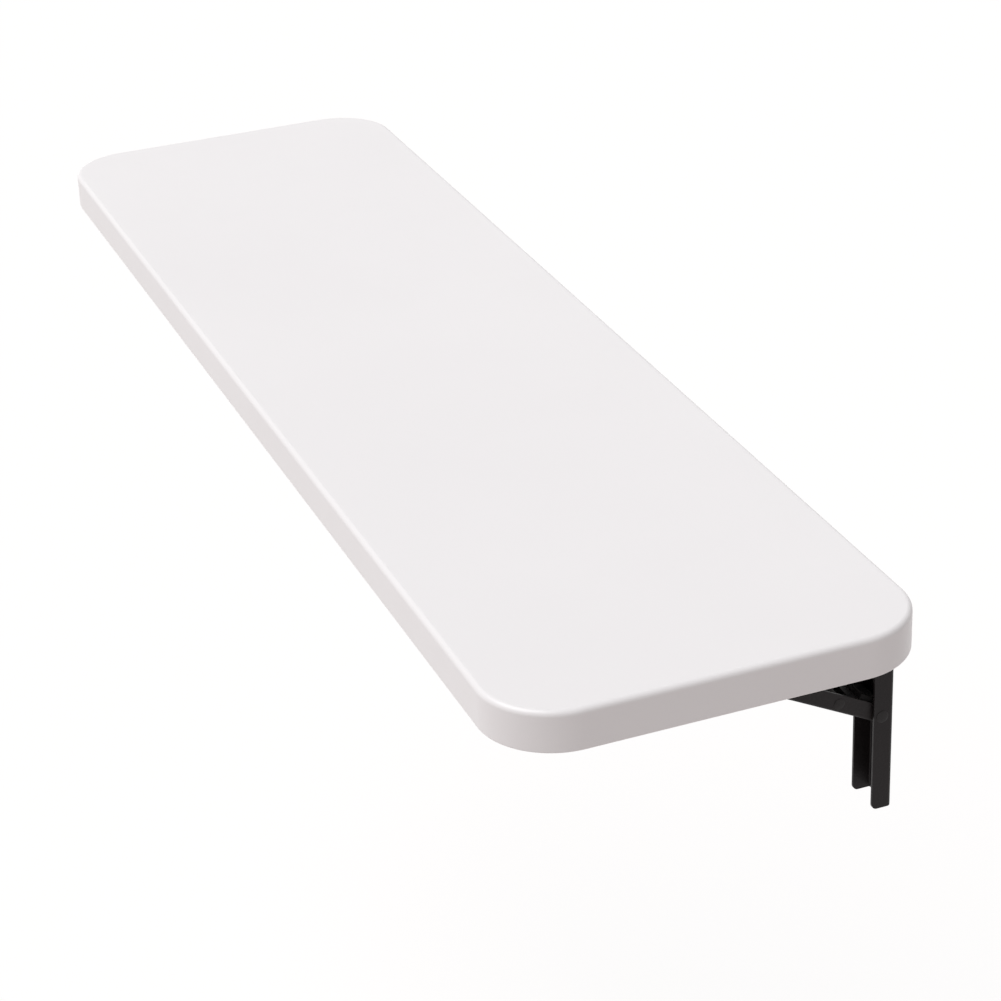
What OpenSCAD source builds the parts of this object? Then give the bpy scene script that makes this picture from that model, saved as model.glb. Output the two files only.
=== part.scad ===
// Wall-mounted folding table: a board on two folding steel brackets.
// X runs along the board, +Z is up, and the wall is the plane Y = 0 behind it.
// The origin is the middle of the four outer wall holes, on the wall.
// The table is drawn open, and folds down about +X until it hangs flat.

/* [Board] */
// Length of the board along the wall
board_l = 1100; // [700:10:1600]
// Depth of the board, from its wall edge to its front edge
board_d = 300; // [275:1:450]
// Thickness of the core
core_t = 26; // [22:1:36]
// Thickness of the white shell over the top and the sides
shell_t = 2; // [1.6:0.1:3]
// Thickness of the backing sheet under the core
backer_t = 2; // [1:0.5:3]
// Radius of the two front corners, seen from above
front_corner_r = 52; // [30:1:100]
// Radius of the two wall corners, seen from above
wall_corner_r = 52; // [30:1:60]
// Rounding of the upper edge
upper_edge_r = 4; // [3:0.5:12]
// Rounding of the lower edge
lower_edge_r = 1.5; // [0.5:0.1:1.5]
// Gap between the board and the wall
wall_gap = 1.5; // [1:0.5:4]

/* [Wall legs] */
// Distance from each end of the board to its leg
leg_inset = 61; // [35:1:120]
// Width of a leg
leg_w = 29; // [24:0.5:40]
// Depth of a leg's flanges, out from the wall
leg_d = 15; // [13:0.5:16]
// Steel thickness of a leg
leg_t = 2; // [1.5:0.1:2.5]
// Length of leg below the lower wall hole
leg_under = 20.5; // [12:0.5:40]
// Rounding of a leg's lower front corners
leg_corner_r = 4; // [2:0.5:6]
// Rounding of a leg's lower end at the wall
leg_heel_r = 2; // [0.5:0.1:2]
// Spacing of the outer wall holes, up and down
hole_pitch = 96; // [80:1:140]
// Diameter of a wall hole
hole_d = 6; // [4:0.5:8]
// Height of the hinge pin above the upper wall hole
hinge_above_hole = 17; // [14:0.5:20]
// Height of the middle wall hole above the brace pin
middle_above_brace = 18.5; // [14:0.5:22]

/* [Pins] */
// Distance of the hinge pin and the brace pin from the wall
pin_off = 8.8; // [8.6:0.1:9.5]
// Distance of the hinge pin below the board
pin_drop = 12.5; // [12:0.1:16]
// Distance between the hinge pin and the brace pin
brace_drop = 60.5; // [50:0.5:62]
// Diameter of the hinge pin
hinge_pin_d = 6; // [4:0.5:7]
// Diameter of the brace pin
brace_pin_d = 5; // [4:0.5:6]
// Diameter of the sliding pin
slide_pin_d = 6; // [4:0.5:6.5]
// Outer radius of the bends of the legs and arms
bend_r = 3; // [2.6:0.1:4]
// Running clearance round a pin
fit = 0.08; // [0.02:0.01:0.1]
// Width of the rim of a rivet head, past its pin
head_rim = 2; // [1.5:0.1:2.5]
// Height of a low rivet head
low_head_h = 0.6; // [0.4:0.05:0.7]
// Height of a hinge pin's head
head_h = 1.4; // [0.8:0.1:2.5]

/* [Arms] */
// Length of an arm in front of the hinge pin
arm_l = 250; // [215:1:260]
// Depth of an arm's flanges
arm_d = 19; // [18:0.5:20]
// Steel thickness of an arm
arm_t = 1.8; // [1.2:0.1:2]
// Gap between a leg and an arm's flange, filled by a washer
arm_gap = 1; // [0.9:0.1:2]
// Play of the sliding pin in its slot
slot_play = 0.4; // [0.2:0.1:1]
// Height of the seat that holds the sliding pin, above the slot
seat_rise = 4; // [3:0.1:4]
// Thickness of the plastic cap on an arm's front end
cap_t = 3; // [2:0.5:6]
// Length of the cap's plug inside the arm
cap_plug_l = 12; // [6:1:15]

/* [Braces] */
// Slope of an open brace
brace_slope = 27.5; // [26:0.1:29]
// Depth of a brace, seen from the side
brace_d = 12.8; // [11:0.1:12.8]
// Thickness of the gap that a nylon washer fills between a brace and its leg
brace_gap = 1.2; // [1.2:0.1:3]
// Steel thickness of a brace
brace_t = 1.5; // [1.2:0.1:2]
// Outer radius of a brace's bends
brace_bend_r = 2.1; // [2.1:0.1:3]
// Distance of the spacer rivet from the brace pin
spacer_at = 35; // [34:1:60]
// Diameter of the hole in a brace's back that clears the lower wall screw's head
head_hole_d = 12; // [10:0.5:13]
// Distance of the buffer from the brace pin
buffer_at = 7; // [5:0.5:7]
// Length of the buffer along a brace
buffer_l = 22; // [20:0.5:22]
// Depth of the buffer's long part below a brace's edge
buffer_low = 0.5; // [0.2:0.1:2]
// Length of the buffer's raised pad
pad_l = 11.5; // [8:0.5:11.5]
// Gap between the raised pad and the arm that folds against it
pad_play = 0.4; // [0.3:0.1:1]
// Diameter of the spacer rivet
spacer_rivet_d = 4; // [3:0.5:4.5]
// Diameter of the tube round the spacer rivet
spacer_tube_d = 8; // [6:0.5:8.5]
// Diameter of the nylon washers
washer_d = 11; // [10:0.5:12]
// Side play of a washer or a roller
washer_play = 0.1; // [0.05:0.05:0.2]
// Diameter of the nylon rollers on the sliding pin
roller_d = 10; // [8:0.5:10.5]
// Width of a nylon roller
roller_w = 3.5; // [2:0.1:4]

/* [Board screws] */
// Distance of the first screw from the hinge pin
screw_first = 30; // [30:1:40]
// Distance from the first screw to the second
screw_second = 56; // [56:1:60]
// Distance of the last screw from the arm's front end
screw_last = 22; // [18:1:30]
// Distance between the two front screws
screw_front_step = 26; // [16:1:30]
// Diameter of a screw's shank
screw_d = 4; // [3:0.5:5]
// Diameter of a screw's head
screw_head_d = 9; // [7:0.5:10]
// Height of a screw's head
screw_head_h = 2.4; // [1.6:0.1:2.6]
// Length of screw inside the board
screw_bite = 18; // [12:1:20]

/* [Hidden] */
$fn = 96;
eps = 0.01;

board_t = core_t + shell_t + backer_t;
leg_x = board_l / 2 - leg_inset - leg_w / 2;

hinge_y = -pin_off;
hinge_z = hole_pitch / 2 + hinge_above_hole;
brace_z = hinge_z - brace_drop;
under_z = hinge_z + pin_drop;
top_z = under_z + board_t;
leg_nose_r = leg_d - pin_off;
leg_top_z = hinge_z + leg_nose_r;
leg_low_z = -hole_pitch / 2 - leg_under;
middle_hole_z = brace_z + middle_above_brace;

arm_in = leg_w / 2 + arm_gap;
arm_out = arm_in + arm_t;
arm_front_y = hinge_y - arm_l;
arm_low_z = under_z - arm_d;
arm_end_r = arm_d - pin_drop;

seat_z = hinge_z + seat_rise;
brace_l = (seat_z - brace_z) / sin(brace_slope);
seat_y = hinge_y - brace_l * cos(brace_slope);
folded_y = hinge_y - brace_drop - brace_l;
slot_r = slide_pin_d / 2 + slot_play;

leg_in = leg_w / 2 - leg_t;
brace_out = leg_in - brace_gap;
brace_in = brace_out - brace_t;
head_hole_at = brace_z + hole_pitch / 2;
pad_top = pin_drop - arm_t - pad_play;
screw_ys = [
    hinge_y - screw_first,
    hinge_y - screw_first - screw_second,
    arm_front_y + screw_last + screw_front_step,
    arm_front_y + screw_last
];

steel = [0.17, 0.15, 0.15];
white = [0.93, 0.92, 0.92];
nylon = [0.85, 0.84, 0.80];
zinc = [0.62, 0.63, 0.65];

// A side profile in (Y, Z), given thickness t along X, its inner face at x
module side_plate(x, t) {
    translate([x, 0, 0]) rotate([90, 0, 90]) linear_extrude(t) children();
}

// Section of half a rounded box, half width w and depth d, its back at y = 0
module rounded_back(w, d, r) {
    translate([-w, -d]) square([2 * w, d - r]);
    translate([r - w, -d]) square([2 * (w - r), d]);
    translate([r - w, -r]) circle(r);
    translate([w - r, -r]) circle(r);
}

// Section of a bent channel, half width w and depth d, of steel t thick, bent to radius r
module channel_section(w, d, t, r) {
    difference() {
        rounded_back(w, d, r);
        translate([0, -t]) rounded_back(w - t, d, r - t);
    }
}

// A round bar along X, from x0 to x1, at y, z
module bar(r, x0, x1, y, z) {
    translate([x0, y, z]) rotate([0, 90, 0]) cylinder(h = x1 - x0, r = r);
}

// A ring along X at y, z
module ring(r_out, r_in, x0, x1, y, z) {
    difference() {
        bar(r_out, x0, x1, y, z);
        bar(r_in, x0 - 1, x1 + 1, y, z);
    }
}

// A pin with a head on each end, h high, whose heads sit on half width w
module headed_pin(d, rim, w, h, y, z) {
    bar(d / 2, -w - eps, w + eps, y, z);
    bar(d / 2 + rim, w, w + h, y, z);
    bar(d / 2 + rim, -w - h, -w, y, z);
}

// Flat shape of two discs of radius r joined by a strip
module stadium(r, p, q) {
    d = q - p;
    translate(p) circle(r);
    translate(q) circle(r);
    translate(p) rotate(atan2(d[1], d[0])) translate([0, -r]) square([norm(d), 2 * r]);
}

// Section of the board's edge, w wide and h high, its outer edge at x = w
module edge_section(w, h, upper, lower) {
    square([w - upper, h]);
    translate([0, lower]) square([w, h - upper - lower]);
    translate([w - upper, h - upper]) circle(upper);
    if (lower > 0) {
        square([w - lower, h / 2]);
        translate([w - lower, lower]) circle(lower);
    }
}

// Board solid, inset by n from the outline, h high from z
module board_solid(n, z, h, upper, lower) {
    fr = front_corner_r - n;
    wr = wall_corner_r - n;
    x = board_l / 2 - n;
    y0 = -wall_gap - board_d + n;
    y1 = -wall_gap - n;
    translate([0, 0, z]) {
        for (s = [0, 1]) mirror([s, 0, 0]) {
            translate([x - fr, y0 + fr, 0])
                rotate([0, 0, -90]) rotate_extrude(angle = 90) edge_section(fr, h, upper, lower);
            translate([x - wr, y1 - wr, 0])
                rotate_extrude(angle = 90) edge_section(wr, h, upper, lower);
            translate([x - wr, y1 - wr, 0])
                rotate([90, 0, 0]) linear_extrude(y1 - wr - y0 - fr) edge_section(wr, h, upper, lower);
        }
        translate([x - fr, y0 + fr, 0])
            rotate([90, 0, -90]) linear_extrude(2 * (x - fr)) edge_section(fr, h, upper, lower);
        translate([wr - x, y1 - wr, 0])
            rotate([90, 0, 90]) linear_extrude(2 * (x - wr)) edge_section(wr, h, upper, lower);
        translate([wr - x, y0 + fr, 0]) cube([2 * (x - wr), y1 - wr - y0 - fr, h]);
    }
}

// Each screw's place along an arm, for both brackets
module at_board_screws() {
    for (s = [-1, 1], y = screw_ys) translate([s * leg_x, y, 0]) children();
}

module board_core() {
    color("burlywood") difference() {
        board_solid(shell_t, under_z + backer_t, core_t, upper_edge_r - shell_t, 0);
        at_board_screws() translate([0, 0, under_z]) cylinder(h = screw_bite + 1, d = screw_d);
    }
}

module board_shell() {
    color(white) difference() {
        board_solid(0, under_z, board_t, upper_edge_r, lower_edge_r);
        board_solid(shell_t, under_z - 1, board_t + 1 - shell_t, upper_edge_r - shell_t, 0);
    }
}

module board_backer() {
    color("gainsboro") difference() {
        board_solid(shell_t, under_z, backer_t, 0, 0);
        at_board_screws() translate([0, 0, under_z - 1]) cylinder(h = backer_t + 2, d = screw_d);
    }
}

// Side of a leg, with its top rounded about the hinge pin
module leg_side() {
    difference() {
        union() {
            translate([-leg_d, leg_low_z + leg_corner_r])
                square([leg_d, hinge_z - leg_low_z - leg_corner_r]);
            translate([-leg_d + leg_corner_r, leg_low_z])
                square([leg_d - leg_corner_r - leg_heel_r, leg_corner_r + eps]);
            translate([-leg_d + leg_corner_r, leg_low_z + leg_corner_r]) circle(leg_corner_r);
            translate([-leg_heel_r, leg_low_z + leg_heel_r]) circle(leg_heel_r);
            translate([-leg_heel_r - eps, leg_low_z + leg_heel_r])
                square([leg_heel_r + eps, leg_corner_r - leg_heel_r + eps]);
            translate([hinge_y, hinge_z]) circle(leg_nose_r);
            translate([hinge_y, hinge_z - eps]) square([pin_off, leg_nose_r + eps]);
        }
        translate([hinge_y, hinge_z]) circle(d = hinge_pin_d);
        translate([hinge_y, brace_z]) circle(d = brace_pin_d);
    }
}

module wall_leg() {
    color(steel) difference() {
        intersection() {
            translate([0, 0, leg_low_z])
                linear_extrude(leg_top_z - leg_low_z) channel_section(leg_w / 2, leg_d, leg_t, bend_r);
            side_plate(-leg_w / 2, leg_w) leg_side();
        }
        for (z = [hole_pitch / 2, middle_hole_z, -hole_pitch / 2])
            translate([0, 1, z]) rotate([90, 0, 0]) cylinder(h = leg_t + 2, d = hole_d);
    }
}

// Side of an arm, with the hinge hole, the long slot and the seat at its rear
module arm_side() {
    difference() {
        union() {
            translate([hinge_y, hinge_z]) circle(arm_end_r);
            translate([hinge_y - eps, hinge_z]) square([arm_end_r + eps, pin_drop]);
            translate([arm_front_y, arm_low_z]) square([arm_l, arm_d]);
        }
        translate([hinge_y, hinge_z]) circle(d = hinge_pin_d + 2 * fit);
        stadium(slot_r, [folded_y, hinge_z], [seat_y, hinge_z]);
        stadium(slot_r, [seat_y, hinge_z], [seat_y, seat_z]);
    }
}

module arm() {
    color(steel) difference() {
        intersection() {
            translate([0, hinge_y + arm_end_r, under_z]) rotate([90, 0, 0])
                linear_extrude(arm_l + arm_end_r) channel_section(arm_out, arm_d, arm_t, bend_r);
            side_plate(-arm_out, 2 * arm_out) arm_side();
        }
        for (y = screw_ys) translate([0, y, under_z - arm_t - 1]) cylinder(h = arm_t + 2, d = screw_d);
    }
}

// Places a brace drawn level, pointing to -Y from its pin, at its open slope
module at_brace() {
    translate([0, hinge_y, brace_z]) rotate([-brace_slope, 0, 0]) children();
}

module brace_side() {
    difference() {
        stadium(brace_d / 2, [-brace_l, 0], [0, 0]);
        circle(d = brace_pin_d + 2 * fit);
        translate([-brace_l, 0]) circle(d = slide_pin_d);
        translate([-spacer_at, 0]) circle(d = spacer_rivet_d);
    }
}

// Draws a channel's section along a brace, with its back on the lower side
module along_brace() {
    translate([0, brace_d / 2, -brace_d / 2]) rotate([90, 0, 0])
        linear_extrude(brace_l + brace_d) rotate(180) children();
}

// The brace is open upwards, and its back clears the lower wall screw when folded
module brace() {
    color(steel) at_brace() difference() {
        intersection() {
            along_brace() channel_section(brace_out, brace_d, brace_t, brace_bend_r);
            side_plate(-brace_out, 2 * brace_out) brace_side();
        }
        translate([0, -head_hole_at, -brace_d / 2 - 1]) cylinder(h = brace_t + 2, d = head_hole_d);
    }
}

module hinge_pin() {
    color(zinc) headed_pin(hinge_pin_d, head_rim, arm_out + washer_play, head_h, hinge_y, hinge_z);
}

module brace_pin() {
    color(zinc) headed_pin(brace_pin_d, head_rim, leg_w / 2, low_head_h, hinge_y, brace_z);
}

module slide_pin() {
    half = arm_in - slot_play;
    color(zinc) at_brace() bar(slide_pin_d / 2, -half, half, -brace_l, 0);
}

// Two washers, one each side, between half widths x0 and x1, on a pin of diameter d
module washers(d, x0, x1, y, z) {
    for (s = [0, 1]) mirror([s, 0, 0])
        ring(washer_d / 2, d / 2 + fit, x0 + washer_play, x1 - washer_play, y, z);
}

module hinge_washers() {
    color(nylon) washers(hinge_pin_d, leg_w / 2, arm_in, hinge_y, hinge_z);
}

module brace_washers() {
    color(nylon) washers(brace_pin_d, brace_out, leg_in, hinge_y, brace_z);
}

module slide_rollers() {
    x0 = brace_out + washer_play;
    color(nylon) at_brace() for (s = [0, 1]) mirror([s, 0, 0])
        ring(roller_d / 2, slide_pin_d / 2 + fit, x0, x0 + roller_w, -brace_l, 0);
}

module spacer_rivet() {
    color(zinc) at_brace()
        headed_pin(spacer_rivet_d, head_rim, brace_out, low_head_h, -spacer_at, 0);
}

module spacer_tube() {
    color(steel) at_brace()
        ring(spacer_tube_d / 2, spacer_rivet_d / 2, -brace_in, brace_in, -spacer_at, 0);
}

// Side of the buffer, with its raised pad at the end near the brace pin
module buffer_side() {
    translate([-buffer_at - buffer_l, -brace_d / 2]) square([buffer_l, brace_d - buffer_low]);
    translate([-buffer_at - pad_l, -brace_d / 2]) square([pad_l, brace_d / 2 + pad_top]);
}

// The buffer fills the brace's channel and quiets the arm that folds against it
module brace_buffer() {
    color("black") at_brace() intersection() {
        along_brace() translate([0, -brace_t])
            rounded_back(brace_in, brace_d / 2 + pad_top, brace_bend_r - brace_t);
        side_plate(-brace_out, 2 * brace_out) buffer_side();
    }
}

// Side of the cap's cover, with its lower front corner rounded
module cap_side() {
    translate([arm_front_y - cap_t, arm_low_z + cap_t]) square([cap_t, arm_d - cap_t]);
    intersection() {
        translate([arm_front_y, arm_low_z + cap_t]) circle(cap_t);
        translate([arm_front_y - cap_t, arm_low_z]) square([cap_t, cap_t + eps]);
    }
}

// The cap covers the arm's front end, and its plug fills the channel behind
module arm_end_cap() {
    color("black") {
        side_plate(-arm_out, 2 * arm_out) cap_side();
        translate([fit - arm_in, arm_front_y - eps, arm_low_z])
            cube([2 * (arm_in - fit), cap_plug_l + eps, arm_d - arm_t]);
    }
}

module board_screws() {
    head_z = under_z - arm_t - screw_head_h;
    color(zinc) for (y = screw_ys) translate([0, y, head_z]) {
        cylinder(h = screw_head_h, d = screw_head_d);
        cylinder(h = screw_head_h + arm_t + screw_bite, d = screw_d);
    }
}

module right() {
    translate([leg_x, 0, 0]) children();
}

module left() {
    mirror([1, 0, 0]) right() children();
}

board_core();
board_shell();
board_backer();
right() wall_leg();  // wall_leg_right
left() wall_leg();  // wall_leg_left
right() arm();  // arm_right
left() arm();  // arm_left
right() brace();  // brace_right
left() brace();  // brace_left
right() hinge_pin();  // hinge_pin_right
left() hinge_pin();  // hinge_pin_left
right() brace_pin();  // brace_pin_right
left() brace_pin();  // brace_pin_left
right() slide_pin();  // slide_pin_right
left() slide_pin();  // slide_pin_left
right() hinge_washers();  // hinge_washers_right
left() hinge_washers();  // hinge_washers_left
right() brace_washers();  // brace_washers_right
left() brace_washers();  // brace_washers_left
right() slide_rollers();  // slide_rollers_right
left() slide_rollers();  // slide_rollers_left
right() spacer_rivet();  // spacer_rivet_right
left() spacer_rivet();  // spacer_rivet_left
right() spacer_tube();  // spacer_tube_right
left() spacer_tube();  // spacer_tube_left
right() brace_buffer();  // brace_buffer_right
left() brace_buffer();  // brace_buffer_left
right() arm_end_cap();  // arm_end_cap_right
left() arm_end_cap();  // arm_end_cap_left
right() board_screws();  // board_screws_right
left() board_screws();  // board_screws_left
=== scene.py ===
"""Looks of the wall-mounted folding table: white board, black folding brackets."""

import logging
import math
from dataclasses import dataclass, field
from enum import Enum
from typing import Sequence

import bmesh
import bpy
from mathutils import Matrix, Vector


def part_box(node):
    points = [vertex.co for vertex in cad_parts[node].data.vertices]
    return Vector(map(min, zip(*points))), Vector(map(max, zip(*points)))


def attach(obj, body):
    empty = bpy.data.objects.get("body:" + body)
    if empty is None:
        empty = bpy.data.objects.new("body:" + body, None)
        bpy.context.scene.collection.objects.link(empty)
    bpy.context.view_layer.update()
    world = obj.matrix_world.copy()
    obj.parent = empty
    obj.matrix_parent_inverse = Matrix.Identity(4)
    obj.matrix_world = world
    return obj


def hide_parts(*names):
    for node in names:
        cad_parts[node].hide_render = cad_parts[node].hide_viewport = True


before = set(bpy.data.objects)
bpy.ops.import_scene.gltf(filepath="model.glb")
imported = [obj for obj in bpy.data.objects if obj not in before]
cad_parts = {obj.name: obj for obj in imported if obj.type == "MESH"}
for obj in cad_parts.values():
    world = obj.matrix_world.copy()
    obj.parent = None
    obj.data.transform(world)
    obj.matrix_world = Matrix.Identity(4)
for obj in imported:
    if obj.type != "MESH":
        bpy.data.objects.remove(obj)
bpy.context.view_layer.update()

MM = 0.001
PHOTO_PIXELS = 1001
SENSOR_MM = 36.0
EDGE_LAYER = "edge"
CREASE_DEG = 35.0
SHARP_DEG = 32.0
FLAT_DEG = 0.5
MERGE_DISTANCE = 0.002 * MM
FACE_AREA_WEIGHT = 100
TURNS = 48
DOME_STEPS = 8
log = logging.getLogger("folding_table")

Colour = tuple[float, float, float]
Profile = list[tuple[float, float]]


class Side(Enum):
    """The end of the board that a bracket stands at."""

    RIGHT = "right"
    LEFT = "left"


class Body(Enum):
    """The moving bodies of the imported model."""

    LEGS = "wall_legs"
    TOP = "tabletop"
    BRACE_RIGHT = "brace_right_link"
    BRACE_LEFT = "brace_left_link"

    @staticmethod
    def brace(side: Side) -> "Body":
        """Body of one side's brace."""
        return Body.BRACE_RIGHT if side is Side.RIGHT else Body.BRACE_LEFT


class GroupMaker:
    """Makes each shared shader effect once, as a node group."""

    WAVE_OCTAVES = 1.0
    GRAIN_OCTAVES = 2.0
    GRAIN_SHARE = 0.35
    WEAR_OCTAVES = 4.0
    WEAR_CONTRAST = 6.0
    DUST_OCTAVES = 6.0
    MOTTLE_OCTAVES = 3.0

    def __init__(self) -> None:
        """Start with no groups made."""
        self._made: dict[str, bpy.types.NodeTree] = {}

    def get(self, name: str) -> bpy.types.NodeTree:
        """Return a shared effect, made at its first use.

        Args:
            name: One of orange_peel, edge_wear, dust and mottle.

        Returns:
            The effect's node tree.
        """
        if name not in self._made:
            self._made[name] = getattr(self, f"_{name}")()
        return self._made[name]

    @staticmethod
    def _tree(name: str, inputs: dict[str, float], outputs: Sequence[str]) -> bpy.types.NodeTree:
        """Make an empty group.

        Args:
            name: Name of the group.
            inputs: Float inputs and their default values, after the Vector input.
            outputs: Names of the float outputs.

        Returns:
            The group with its sockets and its two end nodes.
        """
        tree = bpy.data.node_groups.new(name, "ShaderNodeTree")
        tree.interface.new_socket("Vector", in_out="INPUT", socket_type="NodeSocketVector")
        for label, value in inputs.items():
            socket = tree.interface.new_socket(label, in_out="INPUT", socket_type="NodeSocketFloat")
            socket.default_value = value
        for label in outputs:
            tree.interface.new_socket(label, in_out="OUTPUT", socket_type="NodeSocketFloat")
        tree.nodes.new("NodeGroupInput")
        tree.nodes.new("NodeGroupOutput")
        return tree

    def _orange_peel(self) -> bpy.types.NodeTree:
        """Make the fine waviness of a sprayed or moulded skin.

        Returns:
            The group, which puts out a height.
        """
        tree = self._tree("orange_peel", {"Scale": 400.0, "Grain": 3.0}, ["Height"])
        given, out = tree.nodes["Group Input"], tree.nodes["Group Output"]
        wave = noise_node(tree, given.outputs["Vector"], given.outputs["Scale"], self.WAVE_OCTAVES)
        finer = math_node(tree, "MULTIPLY", given.outputs["Scale"], given.outputs["Grain"])
        grain = noise_node(tree, given.outputs["Vector"], finer, self.GRAIN_OCTAVES)
        small = math_node(tree, "MULTIPLY", grain, self.GRAIN_SHARE)
        tree.links.new(math_node(tree, "ADD", wave, small), out.inputs["Height"])
        return tree

    def _edge_wear(self) -> bpy.types.NodeTree:
        """Make the wear of rubbed edges, broken up by noise.

        Returns:
            The group, which puts out a mask.
        """
        tree = self._tree("edge_wear", {"Edge": 0.0, "Amount": 0.5, "Scale": 300.0}, ["Mask"])
        given, out = tree.nodes["Group Input"], tree.nodes["Group Output"]
        broken = noise_node(tree, given.outputs["Vector"], given.outputs["Scale"], self.WEAR_OCTAVES)
        rubbed = math_node(tree, "MULTIPLY", given.outputs["Edge"], given.outputs["Amount"])
        level = math_node(tree, "SUBTRACT", math_node(tree, "ADD", broken, rubbed), 1.0)
        mask = math_node(tree, "MULTIPLY", level, self.WEAR_CONTRAST)
        mask.node.use_clamp = True
        tree.links.new(mask, out.inputs["Mask"])
        return tree

    def _dust(self) -> bpy.types.NodeTree:
        """Make the faint dust on faces that look up.

        Returns:
            The group, which puts out a mask.
        """
        tree = self._tree("dust", {"Up": 0.0, "Amount": 0.1, "Scale": 60.0}, ["Mask"])
        given, out = tree.nodes["Group Input"], tree.nodes["Group Output"]
        patches = noise_node(tree, given.outputs["Vector"], given.outputs["Scale"], self.DUST_OCTAVES)
        lying = math_node(tree, "MULTIPLY", given.outputs["Up"], given.outputs["Amount"])
        mask = math_node(tree, "MULTIPLY", lying, patches)
        mask.node.use_clamp = True
        tree.links.new(mask, out.inputs["Mask"])
        return tree

    def _mottle(self) -> bpy.types.NodeTree:
        """Make a slow change across a surface.

        Returns:
            The group, which puts out a value centred on zero.
        """
        tree = self._tree("mottle", {"Scale": 8.0, "Depth": 0.05}, ["Change"])
        given, out = tree.nodes["Group Input"], tree.nodes["Group Output"]
        slow = noise_node(tree, given.outputs["Vector"], given.outputs["Scale"], self.MOTTLE_OCTAVES)
        centred = math_node(tree, "SUBTRACT", slow, 0.5)
        change = math_node(tree, "MULTIPLY", centred, given.outputs["Depth"])
        tree.links.new(change, out.inputs["Change"])
        return tree


GROUPS = GroupMaker()
Link = bpy.types.NodeSocket


def plug(tree: bpy.types.NodeTree, socket: Link, value: "Link | float") -> None:
    """Feed a socket from another socket, or set its value.

    Args:
        tree: Tree of the socket.
        socket: The socket to feed.
        value: Another node's output, or a plain value.
    """
    if isinstance(value, bpy.types.NodeSocket):
        tree.links.new(value, socket)
    else:
        socket.default_value = value


def math_node(
    tree: bpy.types.NodeTree, operation: str, a: "Link | float", b: "Link | float"
) -> Link:
    """Add a Math node.

    Args:
        tree: Tree to add to.
        operation: Operation of the node.
        a: First value.
        b: Second value.

    Returns:
        The node's output.
    """
    node = tree.nodes.new("ShaderNodeMath")
    node.operation = operation
    plug(tree, node.inputs[0], a)
    plug(tree, node.inputs[1], b)
    return node.outputs[0]


def noise_node(
    tree: bpy.types.NodeTree, vector: Link, scale: "Link | float", detail: float
) -> Link:
    """Add a Noise Texture.

    Args:
        tree: Tree to add to.
        vector: Coordinates.
        scale: Features to the metre.
        detail: Octaves.

    Returns:
        The noise as a value from 0 to 1.
    """
    node = tree.nodes.new("ShaderNodeTexNoise")
    tree.links.new(vector, node.inputs["Vector"])
    plug(tree, node.inputs["Scale"], scale)
    node.inputs["Detail"].default_value = detail
    return node.outputs["Fac"]


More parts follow.
